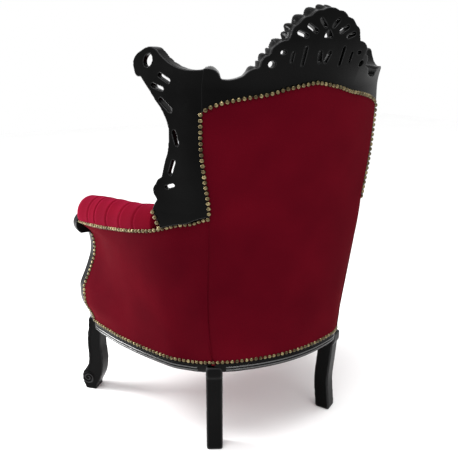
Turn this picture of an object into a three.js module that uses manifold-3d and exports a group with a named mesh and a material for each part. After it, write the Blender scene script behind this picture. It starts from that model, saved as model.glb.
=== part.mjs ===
// A baroque throne armchair: a carved wood frame with a shell crest and pierced wings, and
// velvet upholstery. Millimetres, +Z up, the sitter faces -Y, the mid plane is x = 0.
import * as THREE from "three";
import { mergeVertices } from "three/addons/utils/BufferGeometryUtils.js";
import { TessellateModifier } from "three/addons/modifiers/TessellateModifier.js";
import Module from "manifold-3d";

const wasm = await Module();
wasm.setup();

// Driving dimensions.
const railDepth = 31; // height of the bare rails below the outside panels
const railTop = 318;
const railThick = 30;
const backBendHeight = 765; // where the wings' wood begins and the back leans further
const backTop = 1030; // upper corners of the back opening
const crestTop = 1279;
const backEdge = 289; // half width of the back at its upper corners
const backDepth = 377; // outer face of the back at the bend, on the mid plane
const lowerLean = 0.06;
const upperLean = 0.12;
const crestLean = 26; // further backward roll of the crest
const crestFlatten = 8; // how much flatter the crest is than the barrel below it
const crestThick = 38;
const crestBend = [1085, 1215]; // heights between which the crest rolls back
const crestFlat = [1080, 1150]; // heights over which its ends flatten
const crestFlatReach = 140;
const crestEnd = [180, 300]; // half widths over which the flattening dies away
const wingThick = 26;
const skinThick = 12; // outside back and side panels
const gap = 0.4;
const neckTop = 650; // arm height, where the sides are widest
const taperHeight = 360;
const taperEase = 40;
const cornerDraw = 18; // how far the corners of the back come forward at the rail
const cornerFrom = 170; // half width where that begins
const cornerSpread = 65;
const neckFade = [-30, 215]; // how far forward the sides' neck starts and is full
const rollRadius = 50;
const rollCentreIn = 46;
const rollCentreUp = 17;
const armThick = 112;
const armFront = -216; // front end of the side panels
const stileThick = 32;
const stileBand = 52;
const stileEdge = -232; // where the stile's outer edge is read off the side
const deckBottom = 290;
const deckTop = 366;
const cushionTop = 474;
const legWidth = 52;
const rearLegWidth = 46;
const woodBevel = 4;
const footGap = 2; // between the seat deck and what stands on it
const slotGrow = 0.9; // room round a piece that another one is cut to

const wood = new THREE.MeshStandardMaterial({ color: 0x101011, roughness: 0.28, metalness: 0 });
const outerVelvet = new THREE.MeshStandardMaterial({ color: 0x6a0a1c, roughness: 0.85, metalness: 0 });
const innerVelvet = new THREE.MeshStandardMaterial({ color: 0x9c1430, roughness: 0.85, metalness: 0 });

const chair = new THREE.Group();

// ---- Small helpers ----

const smooth = (low, high, value) => THREE.MathUtils.smoothstep(value, low, high);

// A curve z = f(x) through a few knots, read by bisection on the spline.
function heightCurve(knots) {
  const spline = new THREE.SplineCurve(knots.map(([x, z]) => new THREE.Vector2(x, z)));
  return (x) => {
    let low = 0;
    let high = 1;
    for (let step = 0; step < 30; step++) {
      const middle = (low + high) / 2;
      if (spline.getPoint(middle).x < x) low = middle;
      else high = middle;
    }
    return spline.getPoint(low).y;
  };
}

// The points of a shallow arc between two points, bulging to the left of the way by height.
function arcPoints([ax, az], [bx, bz], height, steps) {
  const points = [];
  for (let step = 1; step <= steps; step++) {
    const t = step / steps;
    const lift = (4 * t * (1 - t) * height) / Math.hypot(bx - ax, bz - az);
    points.push([ax + (bx - ax) * t - (bz - az) * lift, az + (bz - az) * t + (bx - ax) * lift]);
  }
  return points;
}

// A chain of arcs: knots are [x, z, bulge of the arc that ends here].
function scallops(start, knots, steps) {
  const points = [start];
  for (const [x, z, bulge] of knots) {
    points.push(...arcPoints(points[points.length - 1], [x, z], bulge, bulge ? steps : 1));
  }
  return points;
}

const mirrorPoints = (points) => points.map(([x, z]) => [-x, z]).reverse();

const shapeOf = (points) => new THREE.Shape(points.map(([x, z]) => new THREE.Vector2(x, z)));

// A slot with round ends from a to b.
function slotHole([ax, az], [bx, bz], width) {
  const turn = Math.atan2(bz - az, bx - ax);
  const hole = new THREE.Path();
  hole.absarc(bx, bz, width / 2, turn - Math.PI / 2, turn + Math.PI / 2);
  hole.absarc(ax, az, width / 2, turn + Math.PI / 2, turn + (3 * Math.PI) / 2);
  hole.closePath();
  return hole;
}

function signedVolume(geometry) {
  const position = geometry.getAttribute("position");
  const index = geometry.index.array;
  const [a, b, c] = [new THREE.Vector3(), new THREE.Vector3(), new THREE.Vector3()];
  let volume = 0;
  for (let i = 0; i < index.length; i += 3) {
    a.fromBufferAttribute(position, index[i]);
    b.fromBufferAttribute(position, index[i + 1]);
    c.fromBufferAttribute(position, index[i + 2]);
    volume += a.dot(b.cross(c)) / 6;
  }
  return volume;
}

// Moves every vertex by place(x, y, z) and keeps the faces pointing out.
function moulded(geometry, place) {
  const bare = geometry.clone();
  bare.deleteAttribute("normal");
  bare.deleteAttribute("uv");
  const merged = mergeVertices(bare, 1e-3);
  const position = merged.getAttribute("position");
  for (let i = 0; i < position.count; i++) {
    const spot = place(position.getX(i), position.getY(i), position.getZ(i));
    position.setXYZ(i, spot.x, spot.y, spot.z);
  }
  if (signedVolume(merged) < 0) {
    const index = merged.index.array;
    for (let i = 0; i < index.length; i += 3) {
      [index[i + 1], index[i + 2]] = [index[i + 2], index[i + 1]];
    }
  }
  merged.computeVertexNormals();
  return merged;
}

// A flat outline, thickened from depth near to depth far and bent by place.
function bentPlate(shape, near, far, place, cell) {
  const slab = new THREE.ExtrudeGeometry(shape, { depth: far - near, bevelEnabled: false, curveSegments: 2 });
  slab.translate(0, 0, near);
  return moulded(new TessellateModifier(cell, 20).modify(slab), place);
}

// A block of columns by rows cells: place gets its three fractions, each from 0 to 1.
function gridBlock(columns, rows, place) {
  const block = new THREE.BoxGeometry(1, 1, 1, columns, rows, 1);
  return moulded(block.translate(0.5, 0.5, 0.5), place);
}

// Turns a surface (u, z) -> point into a placing rule whose third value is the depth inwards,
// measured level, square to the surface's run.
function inwardFrom(surface) {
  const step = 0.5;
  const up = new THREE.Vector3(0, 0, 1);
  return (u, z, depth) => {
    const run = surface(u + step, z).sub(surface(u - step, z));
    return surface(u, z).addScaledVector(run.cross(up).normalize(), depth);
  };
}

function asManifold(geometry) {
  const bare = geometry.clone();
  bare.deleteAttribute("normal");
  bare.deleteAttribute("uv");
  const merged = mergeVertices(bare, 1e-3);
  return new wasm.Manifold(
    new wasm.Mesh({
      numProp: 3,
      vertProperties: merged.getAttribute("position").array,
      triVerts: new Uint32Array(merged.index.array),
    }),
  );
}

function asGeometry(solid) {
  const mesh = solid.getMesh();
  const geometry = new THREE.BufferGeometry();
  geometry.setAttribute("position", new THREE.BufferAttribute(mesh.vertProperties, 3));
  geometry.setIndex(new THREE.BufferAttribute(mesh.triVerts, 1));
  geometry.computeVertexNormals();
  return geometry;
}

function add(name, geometry, material, mirrored = false) {
  const mesh = new THREE.Mesh(geometry, material);
  mesh.name = name;
  if (mirrored) mesh.scale.x = -1;
  chair.add(mesh);
}

function addPair(name, geometry, material) {
  add(name + "_left", geometry, material);
  add(name + "_right", geometry, material, true);
}

// ---- The surfaces that the chair is built on ----

const edgeKnots = heightCurve([
  [250, 222],
  [railTop, 234],
  [400, 244],
  [540, 254],
  [backBendHeight, 265],
  [860, 278],
  [940, 287],
  [backTop, backEdge],
]);
const edgeX = (z) => (z > backTop ? backEdge : edgeKnots(Math.max(z, 250)));

// Upper edge of the outside back: a serpentine that rises to the mid plane.
const openingTop = heightCurve([
  [-40, 1096],
  [0, 1100],
  [80, 1087],
  [132, 1074],
  [183, 1066],
  [229, 1057],
  [264, 1046],
  [backEdge, backTop],
]);

// How fast the barrel back falls away to the sides, by height.
const backBow = heightCurve([
  [200, 0.00106],
  [400, 0.00102],
  [560, 0.00092],
  [700, 0.00078],
  [780, 0.00076],
  [860, 0.0008],
  [940, 0.00087],
  [1030, 0.00094],
  [1120, 0.00104],
  [1350, 0.00106],
]);

// How far the sides are drawn in below the arms: 0 at arm height, 1 at the rail.
function taperAt(z) {
  const drop = neckTop - z;
  return (drop + Math.hypot(drop, taperEase)) / 2 / taperHeight;
}

function backY(x, z) {
  const lean = z > backBendHeight ? upperLean : lowerLean;
  const half = Math.abs(x);
  const roll = crestLean * smooth(...crestBend, z);
  const ends = Math.min(1, (x / crestFlatReach) ** 2) * smooth(-crestEnd[1], -crestEnd[0], -half);
  const flatten = crestFlatten * smooth(...crestFlat, z) * ends;
  const corner = cornerDraw * taperAt(z) * (Math.max(0, half - cornerFrom) / cornerSpread) ** 2;
  return backDepth - backBow(z) * x * x + lean * (z - backBendHeight) + roll + flatten - corner;
}

const backSurface = (x, z) => new THREE.Vector3(x, backY(x, z), z);

// The wing turns forward from the back round a soft corner; s runs forward along it.
const wingFlare = heightCurve([
  [650, 0.66],
  [750, 0.645],
  [820, 0.593],
  [930, 0.471],
  [1150, 0.401],
  [1230, 0.38],
]);
const cornerRun = 22;
const cornerLead = 44;

function wingSurface(s, z) {
  if (s < -cornerRun) return backSurface(edgeX(z) + cornerRun + s, z);
  const flare = wingFlare(z);
  const forward = new THREE.Vector2(Math.sin(flare), -Math.cos(flare));
  const start = new THREE.Vector2(edgeX(z), backY(edgeX(z), z));
  const alongBack = new THREE.Vector2(1, backY(edgeX(z) + 1, z) - start.y).normalize();
  const corner = start.clone().addScaledVector(alongBack, cornerRun);
  const end = corner.clone().addScaledVector(forward, cornerLead);
  const turn = new THREE.QuadraticBezierCurve(start, corner, end);
  const length = turn.getLength();
  const along = s + cornerRun;
  const spot = along < length ? turn.getPointAt(along / length) : end.addScaledVector(forward, along - length);
  return new THREE.Vector3(spot.x, spot.y, z);
}

// How far the side stands in near its front end, at height z.
const neckKnots = heightCurve([
  [200, -29],
  [285, -27],
  [313, -22],
  [334, -12],
  [352, -4],
  [375, 0],
  [413, 0],
  [430, -4],
  [466, -21],
  [498, -34],
  [530, -44],
  [566, -46],
  [605, -37],
  [632, -13],
  [neckTop, 0],
]);
const neck = (z) => (z > neckTop ? 0 : neckKnots(z));

// The side in plan at arm height: x, y and how far each point is drawn in at the rail.
const sidePlan = [
  [300, 272, 66],
  [340, 224, 68],
  [369, 177, 57],
  [389, 132, 53],
  [403, 88, 48],
  [413, 44, 40],
  [421, 0, 32],
  [434, -66, 17],
  [448, -150, 0],
  [457, -192, 0],
  [470, -262, 0],
];

// The side in plan at height z, from the corner of the back to the front stile.
function planAt(z) {
  const edge = edgeX(Math.min(z, backBendHeight));
  const taper = taperAt(z);
  return new THREE.SplineCurve([
    new THREE.Vector2(edge, backY(edge, z)),
    ...sidePlan.map(([x, y, drawn]) => new THREE.Vector2(x - drawn * taper, y)),
  ]);
}

const armPlan = planAt(neckTop);
const sideLength = armPlan.getLength();

// s runs forward along the side, measured at arm height.
function sideSurface(s, z) {
  const along = armPlan.getUtoTmapping(THREE.MathUtils.clamp(s / sideLength, 0, 1));
  const spot = planAt(z).getPoint(along);
  return new THREE.Vector3(spot.x + neck(z) * smooth(...neckFade, -spot.y), spot.y, z);
}

// The s at which the side reaches a given y.
function sideRun(y) {
  let low = 0;
  let high = sideLength;
  for (let step = 0; step < 30; step++) {
    const middle = (low + high) / 2;
    if (sideSurface(middle, neckTop).y > y) low = middle;
    else high = middle;
  }
  return low;
}

// Height of the nailed line under the arm roll, by how far forward (-y) it is.
const armLine = heightCurve([
  [-340, 764],
  [-305, 751],
  [-278, 735],
  [-242, 725],
  [-176, 701],
  [-60, 679],
  [66, 660],
  [192, 646],
  [300, 638],
]);

// Height of the upholstery's lower edge, level behind and lower round the sides.
const hemLine = heightCurve([
  [-400, 306],
  [-335, 306],
  [-300, 302],
  [-270, 294],
  [-240, 287],
  [-190, 284],
  [100, 284],
  [300, 279],
]);

const onBack = inwardFrom(backSurface);
const onWing = inwardFrom(wingSurface);
const onSide = inwardFrom(sideSurface);

// ---- Wood ----

// Half of the crest's outline from the mid plane to its end: shell lobes, stepped leaves, a dip
// and a last bump.
const crestHalfWidth = backEdge - 1;
const crestHalf = scallops(
  [0, crestTop],
  [
    [24, 1273, 2],
    [58, 1259, 5],
    [90, 1240, 5],
    [107, 1222, 4],
    [113, 1204, -1],
    [150, 1184, 5],
    [149, 1169, 2],
    [169, 1155, 5],
    [168, 1139, 1],
    [200, 1121, 6],
    [248, 1113, -5],
    [crestHalfWidth, 1138, 10],
  ],
  3,
);

function crestShape() {
  const under = [];
  for (let step = 0; step <= 10; step++) {
    const x = (crestHalfWidth * step) / 10;
    under.push([x, openingTop(x) + 2 * gap]);
  }
  const half = [...crestHalf, ...under.reverse()];
  const shape = shapeOf([...half.slice(0, -1), ...mirrorPoints(half).slice(0, -1)]);
  for (const side of [-1, 1]) {
    const slots = [
      [[12, 1236], [27, 1251], 8],
      [[38, 1224], [60, 1236], 9],
      [[64, 1213], [86, 1220], 9],
      [[9, 1154], [15, 1174], 11],
      [[59, 1146], [60, 1186], 8],
      [[92, 1153], [93, 1174], 7],
      [[116, 1175], [122, 1175], 9],
      [[140, 1147], [143, 1148], 15],
    ];
    for (const [from, to, width] of slots) {
      shape.holes.push(slotHole([side * from[0], from[1]], [side * to[0], to[1]], width));
    }
  }
  const triangle = new THREE.Path();
  triangle.moveTo(-14, 1208);
  triangle.quadraticCurveTo(0, 1213, 14, 1208);
  triangle.quadraticCurveTo(10, 1222, 0, 1229);
  triangle.quadraticCurveTo(-10, 1222, -14, 1208);
  shape.holes.push(triangle);
  return shape;
}

add("crest_rail", bentPlate(crestShape(), 0, crestThick, onBack, 85), wood);

// Wing board: a back stile and a forward wing in one, with an ear, a waist and a volute below.
const wingFoot = 123; // how far forward the wing's lower edge runs
const wingFootHeight = 730;

function wingShape() {
  const rear = gap - cornerRun;
  const lift = 3 * gap;
  const under = [];
  for (let step = 0; step <= 10; step++) {
    const s = rear + ((wingFoot - rear) * step) / 10;
    under.push([s, armLine(-wingSurface(s, wingFootHeight).y) + lift]);
  }
  const front = scallops(
    under[10],
    [
      [146, 762, 0],
      [128, 797, -3],
      [127, 841, -12],
      [107, 859, -3],
      [81, 925, -2],
      [74, 985, 2],
      [118, 1055, 6],
      [175, 1116, 2],
      [197, 1128, -6],
      [183, 1181, -17],
      [129, 1182, -8],
      [50, 1140, 5],
      [rear, 1137, 4],
    ],
    3,
  );
  const shape = shapeOf([...under.slice(0, -1), ...front]);
  const ear = new THREE.Path();
  ear.absellipse(155, 1156, 15, 16, 0, Math.PI);
  ear.absellipse(155, 1156, 15, 16, Math.PI, Math.PI * 2);
  shape.holes.push(ear);
  const slots = [
    [[107, 1122], [73, 1107], 10],
    [[129, 1096], [94, 1087], 10],
    [[101, 1059], [68, 1035], 13],
    [[57, 978], [49, 952], 13],
    [[64, 903], [78, 872], 12],
    [[95, 832], [73, 840], 9],
  ];
  for (const [from, to, width] of slots) shape.holes.push(slotHole(from, to, width));
  return shape;
}

addPair("wing", bentPlate(wingShape(), 0, wingThick, onWing, 85), wood);

// Rails under the upholstery, a little proud of it.
const railReveal = 2;

function railBlock(surface, from, to) {
  const place = inwardFrom(surface);
  return gridBlock(12, 1, (along, up, inward) => {
    const s = THREE.MathUtils.lerp(from, to, along);
    const hem = hemLine(-surface(s, railTop).y);
    return place(s, hem - 3 * gap - railDepth * (1 - up), inward * railThick - railReveal);
  });
}

const rearRailHalf = 209;
const railStart = sideRun(243);
const railEnd = sideRun(-206);
add("rear_rail", railBlock(backSurface, -rearRailHalf, rearRailHalf), wood);
addPair("side_rail", railBlock(sideSurface, railStart, railEnd), wood);

// ---- Legs ----

// A leg sawn from a board: an outline in the plane of its kick, with rounded edges.
function sawnLeg(points, width, bevel) {
  const leg = new THREE.ExtrudeGeometry(shapeOf(points), {
    depth: width - 2 * bevel,
    bevelSize: bevel,
    bevelThickness: bevel,
    bevelOffset: -bevel,
    bevelSegments: 1,
  });
  leg.translate(0, 0, bevel - width / 2);
  return leg;
}

// Stands an outline (out, z) upright at a point, its out axis turned to a heading from +X.
function standing(geometry, x, y, heading) {
  const out = new THREE.Vector3(Math.cos(heading), Math.sin(heading), 0);
  const across = new THREE.Vector3(Math.sin(heading), -Math.cos(heading), 0);
  return moulded(geometry, (u, v, w) =>
    new THREE.Vector3(x, y, v).addScaledVector(out, u).addScaledVector(across, w),
  );
}

function profile(knots, segments) {
  const curve = new THREE.SplineCurve(knots.map(([u, z]) => new THREE.Vector2(u, z)));
  return curve.getPoints(segments).map((spot) => [spot.x, spot.y]);
}

// Cabriole front leg: a full knee, a slim ankle and a foot that rolls outwards.
const frontLegTop = 281;
const shinKnots = [
  [18, 0],
  [23, 12],
  [25, 40],
  [23, 66],
  [14, 84],
  [4, 102],
  [0, 140],
  [2, 174],
  [0, 205],
  [-6, 240],
];
const calfKnots = [
  [-50, 240],
  [-48, 180],
  [-51, 140],
  [-52, 106],
  [-46, 66],
  [-36, 40],
  [-25, 19],
  [-20, 6],
];
const frontLegPoints = [
  [-20, 0],
  ...profile(shinKnots, 20),
  [-10, frontLegTop],
  [-54, frontLegTop],
  ...profile(calfKnots, 14),
];
const frontLegX = 433;
const frontLegY = -272;
const frontHeading = -Math.PI / 4;
const frontLegBevel = 6;
addPair(
  "front_leg",
  standing(sawnLeg(frontLegPoints, legWidth, frontLegBevel), frontLegX, frontLegY, frontHeading),
  wood,
);

// Sabre rear leg, square in section, that bows in and kicks back a little at the foot.
const rearKick = [
  [0, 0],
  [-3, 30],
  [-9, 90],
  [-9, 130],
  [-4, 190],
  [0, 256],
];
const rearHalf = rearLegWidth / 2;
const rearLegTop = 286;
const blockOut = 7; // how far the block between the rails stands out from the leg
const rearLegPoints = [
  ...profile(rearKick.map(([u, z]) => [u + rearHalf, z]), 12),
  [rearHalf + blockOut, 268],
  [rearHalf + blockOut, rearLegTop],
  [-rearHalf, rearLegTop],
  ...profile(rearKick.map(([u, z]) => [u - rearHalf, z]).reverse(), 12),
];
const rearLegX = 218;
const rearLegY = 258;
const rearHeading = (Math.PI * 62) / 180;
addPair(
  "rear_leg",
  standing(sawnLeg(rearLegPoints, rearLegWidth, woodBevel), rearLegX, rearLegY, rearHeading),
  wood,
);

// Front rail: a serpentine in plan with a shaped apron and a middle drop.
const frontRailHalf = 385;
const frontRailThick = 34;
const frontRailTop = 330;
const frontRailBow = 34;
const frontRailY = -298;
const apronEdge = heightCurve([
  [-30, 210],
  [0, 206],
  [36, 214],
  [62, 240],
  [112, 262],
  [170, 258],
  [236, 252],
  [310, 261],
  [350, 252],
  [390, 238],
]);
add(
  "front_rail",
  gridBlock(28, 1, (across, up, inward) => {
    const x = frontRailHalf * (2 * across - 1);
    const bow = frontRailBow * Math.cos((Math.PI * x) / 2 / frontRailHalf) ** 2;
    const z = THREE.MathUtils.lerp(apronEdge(Math.abs(x)), frontRailTop, up);
    return new THREE.Vector3(x, frontRailY - bow + inward * frontRailThick, z);
  }),
  wood,
);

// ---- Front stiles of the arms: an S band with a scroll at the top ----

const bandTop = 602; // where the band's outer edge runs into the scroll
const innerTop = 590;
const scrollX = 433;
const scrollZ = 633;
const scrollRadius = 38;
const stileBottom = frontLegTop + gap;

// The stile's outline, grown all round by grow.
function stileShape(grow) {
  const outer = [];
  for (let step = 0; step <= 14; step++) {
    const z = stileBottom + ((bandTop - stileBottom) * step) / 14;
    outer.push([sideSurface(sideRun(stileEdge), z).x + grow, z]);
  }
  const scroll = [];
  const radius = scrollRadius + grow;
  for (let step = 0; step <= 16; step++) {
    const turn = -0.3 * Math.PI + ((1.58 * Math.PI - 0.12 * grow) * step) / 16;
    scroll.push([scrollX + radius * Math.cos(turn), scrollZ + radius * Math.sin(turn)]);
  }
  const inner = outer.map(([x, z]) => [x - stileBand - 2 * grow, z]);
  return shapeOf([...outer, ...scroll, ...inner.filter(([, z]) => z < innerTop).reverse()]);
}

function stileGeometry(grow, front, bevel) {
  const board = new THREE.ExtrudeGeometry(stileShape(grow), {
    depth: armFront - front - 2 * bevel,
    bevelEnabled: bevel > 0,
    bevelSize: bevel,
    bevelThickness: bevel,
    bevelOffset: -bevel,
    bevelSegments: 1,
  });
  return moulded(board, (x, z, depth) => new THREE.Vector3(x, armFront - gap + grow - bevel - depth, z));
}

const stileFront = armFront - stileThick;
addPair("arm_stile", stileGeometry(0, stileFront, woodBevel), wood);

// ---- Upholstery ----

// Outside back: the whole barrel panel from the rail to the serpentine top.
const skinReveal = 3;

add(
  "outside_back",
  gridBlock(16, 9, (across, up, inward) => {
    const edge = edgeX(THREE.MathUtils.lerp(railTop, backTop, up)) - 3 * gap;
    const x = edge * (2 * across - 1);
    const z = THREE.MathUtils.lerp(hemLine(-backY(x, railTop)), openingTop(Math.abs(x)), up);
    return onBack(x, z, inward * skinThick - skinReveal);
  }),
  outerVelvet,
);

// Outside of each arm, from the corner of the back to the front stile.
const sideEnd = sideRun(armFront);
const cornerMitre = 9;

addPair(
  "outside_arm",
  gridBlock(12, 10, (along, up, inward) => {
    const s = THREE.MathUtils.lerp(gap + cornerMitre * inward, sideEnd, along);
    const line = armLine(-sideSurface(s, neckTop).y);
    const hem = hemLine(-sideSurface(s, railTop).y);
    const spot = onSide(s, THREE.MathUtils.lerp(hem, line, up), inward * skinThick);
    spot.y = Math.max(spot.y, armFront);
    return spot;
  }),
  outerVelvet,
);

// The arm: a round roll over an upright pad, one section swept along the side. Its front
// closes round the stile's scroll.
const rollStart = sideRun(177);
const armFoot = deckTop + footGap;
const padDrop = 310; // section height of the pad below the nailed line
const rollLift = 11; // extra rise of the roll towards its front end
const rollRise = [-150, 110]; // how far forward that rise starts and is full
const rollClear = 5; // between the roll and the outside panel
const rollFrom = Math.PI + 0.33; // the roll's section starts low outside and ends low inside
const rollTurn = Math.PI + 1.05;
const padShoulder = -70; // where the pad's face begins below the roll

function armSection() {
  const near = skinThick + rollClear;
  const points = [];
  for (let step = 0; step <= 8; step++) points.push([near, -padDrop + (padDrop * step) / 8]);
  for (let step = 0; step <= 11; step++) {
    const turn = rollFrom - (step / 11) * rollTurn;
    const [out, up] = [rollRadius * Math.cos(turn), rollRadius * Math.sin(turn)];
    points.push([rollCentreIn + out, rollCentreUp + up]);
  }
  for (let step = 0; step <= 4; step++) points.push([armThick, THREE.MathUtils.lerp(padShoulder, -padDrop, step / 4)]);
  return shapeOf(points);
}

function armGeometry() {
  const length = sideRun(stileFront) - rollStart;
  const sweep = new THREE.ExtrudeGeometry(armSection(), { depth: length, steps: 10, bevelEnabled: false });
  const arm = moulded(sweep, (depth, z, run) => {
    const s = rollStart + run;
    const forward = -sideSurface(s, neckTop).y;
    const line = armLine(forward) + 4 * gap;
    const lift = z > 0 ? rollLift * smooth(...rollRise, forward) * (z / rollRadius) : 0;
    const height = z > 0 ? line + z + lift : THREE.MathUtils.lerp(armFoot, line, 1 + z / padDrop);
    const spot = onSide(s, height, depth);
    spot.y = Math.max(spot.y, stileFront);
    return spot;
  });
  return asGeometry(asManifold(arm).subtract(asManifold(stileGeometry(slotGrow, stileFront - rollRadius, 0))));
}

addPair("arm", armGeometry(), innerVelvet);

// Inside back: a thick pad in front of the frame, narrower at the seat.
const padRear = 36;
const padThick = 74;
const padEdgeIn = 34; // how far it stays inside the back's side edges
const padWidest = 250;
const padTopIn = 28;
const padFoot = deckTop + footGap + 1;
const padBow = 0.0009;
const padLean = 0.09;
const padSplay = 0.1; // how much wider its face is than its rear

function insideBackGeometry(grow) {
  return gridBlock(10, 8, (across, up, inward) => {
    const level = THREE.MathUtils.lerp(padFoot, backTop, up);
    const edge = Math.min(edgeX(level) - padEdgeIn, padWidest) + grow;
    const flat = edge * (2 * across - 1);
    const z = THREE.MathUtils.lerp(padFoot - grow, openingTop(Math.abs(flat)) - padTopIn + grow, up);
    const depth = THREE.MathUtils.lerp(padRear - grow, padRear + padThick + grow, inward);
    const lean = padLean * (z - backBendHeight);
    const y = backDepth - depth - padBow * flat * flat + lean;
    return new THREE.Vector3(flat * (1 + padSplay * inward), y, z);
  });
}

add("inside_back", insideBackGeometry(0), innerVelvet);

// Inside of each wing below its piercings, fitted against the inside back.
const padClear = 3;
const wingPadStart = 24;
const wingPadOuter = 34;
const wingPadInner = [96, 46]; // depth of its face at the back and at the front

function wingPadGeometry() {
  const top = heightCurve([
    [0, 790],
    [24, 798],
    [70, 806],
    [110, 798],
    [140, 768],
    [170, 700],
  ]);
  const end = rollStart - padClear;
  const pad = gridBlock(6, 6, (along, up, inward) => {
    const s = THREE.MathUtils.lerp(wingPadStart, end, along);
    const inner = THREE.MathUtils.lerp(...wingPadInner, along);
    const depth = THREE.MathUtils.lerp(wingPadOuter, inner, inward);
    return onSide(s, THREE.MathUtils.lerp(padFoot, top(s), up), depth);
  });
  const bodies = asManifold(pad).subtract(asManifold(insideBackGeometry(padClear))).decompose();
  return asGeometry(bodies.sort((a, b) => b.volume() - a.volume())[0]);
}

addPair("wing_pad", wingPadGeometry(), innerVelvet);

// Seat: a sprung deck inside the rails and a loose boxed cushion on it.
function seatShape(rearY, frontY, rearHalfWidth, frontHalfWidth, bow) {
  const half = profile(
    [
      [0, frontY - bow],
      [frontHalfWidth * 0.6, frontY - bow * 0.7],
      [frontHalfWidth - 24, frontY + 8],
      [frontHalfWidth, frontY + 60],
      [(frontHalfWidth + rearHalfWidth) / 2 + 24, (frontY + rearY) / 2],
      [rearHalfWidth, rearY - 40],
      [rearHalfWidth - 50, rearY],
      [0, rearY + 22],
    ],
    16,
  );
  return shapeOf([...half, ...mirrorPoints(half).slice(1, -1)]);
}

function seatBlock(shape, bottom, top, bevel) {
  const block = new THREE.ExtrudeGeometry(shape, {
    depth: top - bottom - 2 * bevel,
    bevelSize: bevel,
    bevelThickness: bevel,
    bevelOffset: -bevel,
    bevelSegments: 1,
  });
  block.translate(0, 0, bottom + bevel);
  return moulded(block, (x, y, z) => new THREE.Vector3(x, y, z));
}

const deckShape = seatShape(226, -252, 190, 366, 9);
const cushionShape = seatShape(196, -258, 186, 326, 52);
const deckBevel = 6;
const cushionBevel = 26;
add("seat_deck", seatBlock(deckShape, deckBottom, deckTop, deckBevel), innerVelvet);
add("seat_cushion", seatBlock(cushionShape, deckTop + gap, cushionTop, cushionBevel), innerVelvet);

// The origin is under the middle of the chair's box.
const box = new THREE.Box3().setFromObject(chair, true);
for (const mesh of chair.children) mesh.position.y = -(box.min.y + box.max.y) / 2;

export default chair;
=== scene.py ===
import bpy
import math
import numpy as np
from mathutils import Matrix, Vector


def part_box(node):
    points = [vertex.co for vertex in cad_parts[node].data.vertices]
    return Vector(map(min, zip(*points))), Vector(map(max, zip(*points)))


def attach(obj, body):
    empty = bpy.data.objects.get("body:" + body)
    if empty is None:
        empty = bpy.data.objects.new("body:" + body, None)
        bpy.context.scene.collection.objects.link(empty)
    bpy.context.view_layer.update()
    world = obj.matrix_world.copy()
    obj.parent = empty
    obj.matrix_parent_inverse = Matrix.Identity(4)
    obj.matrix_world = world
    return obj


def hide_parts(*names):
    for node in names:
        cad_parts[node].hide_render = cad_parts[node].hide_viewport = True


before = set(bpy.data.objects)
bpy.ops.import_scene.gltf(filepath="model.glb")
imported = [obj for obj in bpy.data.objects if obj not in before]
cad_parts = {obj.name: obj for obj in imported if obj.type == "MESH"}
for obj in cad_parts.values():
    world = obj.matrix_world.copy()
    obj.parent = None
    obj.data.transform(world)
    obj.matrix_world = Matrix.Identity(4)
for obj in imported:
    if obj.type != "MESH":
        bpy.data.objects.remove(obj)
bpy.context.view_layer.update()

# Every shape is worked out in millimetres in the chair's own plan, where the front rail's foremost
# point is at y = -332, and set down in metres in the frame at the end.
railFront = -332
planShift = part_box("front_rail")[0][1] * 1000 - railFront


# Eased from 0 at low to 1 at high.
def smooth(low, high, value):
    t = np.clip((np.asarray(value, float) - low) / (high - low), 0, 1)
    return t * t * (3 - 2 * t)


def mix(a, b, t):
    return a + (b - a) * t


# The spot a share w of the way from here to there, on a smooth curve through four knots in a row.
def betweenKnots(before, here, there, after, w):
    out, back = (there - before) / 2, (after - here) / 2
    cubed, squared = 2 * here - 2 * there + out + back, 3 * there - 3 * here - 2 * out - back
    return cubed * w**3 + squared * w**2 + out * w + here


def splinePoints(knots, count):
    knots = np.array(knots, float)
    t = np.linspace(0, len(knots) - 1, count)
    i = np.minimum(t.astype(int), len(knots) - 2)
    four = (knots[np.clip(i + k, 0, len(knots) - 1)] for k in (-1, 0, 1, 2))
    return betweenKnots(*four, (t - i)[:, None])


# A smooth curve as a function of its first number.
def heightCurve(knots):
    table = splinePoints(knots, 600)
    return lambda x: np.interp(x, table[:, 0], table[:, 1])


backMiddle = 377  # y of the outside back in its middle, at the height of leanFrom
backEdge, edgeTop = 289, 1030  # half the back's width, and the height from which it stays so wide
leanFrom = 765  # the back leans more above the arms
neckTop = 650  # the sides' run is measured along their plan at this height
hemLevel = 318  # the hem's height follows the plan at this level
panelFront = -216  # y of the stiles' rear face, where the outside panels end

# half width of the back, and the top of its cloth from the middle outwards
edgeKnots = heightCurve([(250, 222), (318, 234), (400, 244), (540, 254), (765, 265), (860, 278), (940, 287),
                         (edgeTop, backEdge)])
openingTop = heightCurve([(-40, 1096), (0, 1100), (80, 1087), (132, 1074), (183, 1066), (229, 1057),
                          (264, 1046), (backEdge, edgeTop)])
# how strongly the back is barrelled, and how far the wings turn outwards, at each height
backBow = heightCurve([(200, 0.00106), (400, 0.00102), (560, 0.00092), (700, 0.00078), (780, 0.00076),
                       (860, 0.0008), (940, 0.00087), (1030, 0.00094), (1120, 0.00104), (1350, 0.00106)])
wingFlare = heightCurve([(650, 0.66), (750, 0.645), (820, 0.593), (930, 0.471), (1150, 0.401), (1230, 0.38)])
# how far the sides are drawn in below the arm roll, at each height
neckKnots = heightCurve([(200, -29), (285, -27), (313, -22), (334, -12), (352, -4), (375, 0), (413, 0),
                         (430, -4), (466, -21), (498, -34), (530, -44), (566, -46), (605, -37), (632, -13),
                         (650, 0)])
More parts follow.
